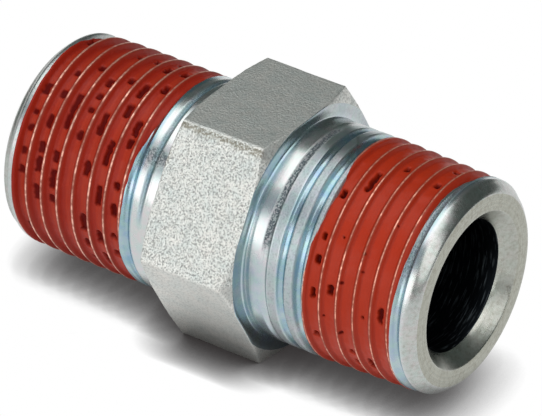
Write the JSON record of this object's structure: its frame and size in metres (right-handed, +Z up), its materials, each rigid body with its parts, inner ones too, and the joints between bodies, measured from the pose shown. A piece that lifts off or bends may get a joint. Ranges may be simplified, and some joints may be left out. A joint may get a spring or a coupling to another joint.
{
  "type": "hydraulic adapter",
  "caption": "Hexagon nipple with tapered pipe thread on both ends, a plain through bore with a cone seat in the long-necked end, and dried thread sealant on both threads.",
  "frame": {"origin": "on the bore axis at the middle of the hexagon, halfway between the end faces", "axes": "+X along the bore axis towards the long-necked end with the cone seat, +Z up, square to the hexagon's top flat"},
  "size_m": [0.0468, 0.0274, 0.0238],
  "materials": {
    "zinc_plated_steel": "bright zinc plate over turned steel, forged flats on the hexagon",
    "long_end_sealant": "dried brick red thread sealant, satin",
    "short_end_sealant": "dried deep red thread sealant, satin"
  },
  "bodies": {
    "root": {"adapter_body": "zinc_plated_steel", "long_end_sealant": "long_end_sealant", "short_end_sealant": "short_end_sealant"}
  },
  "joints": []
}
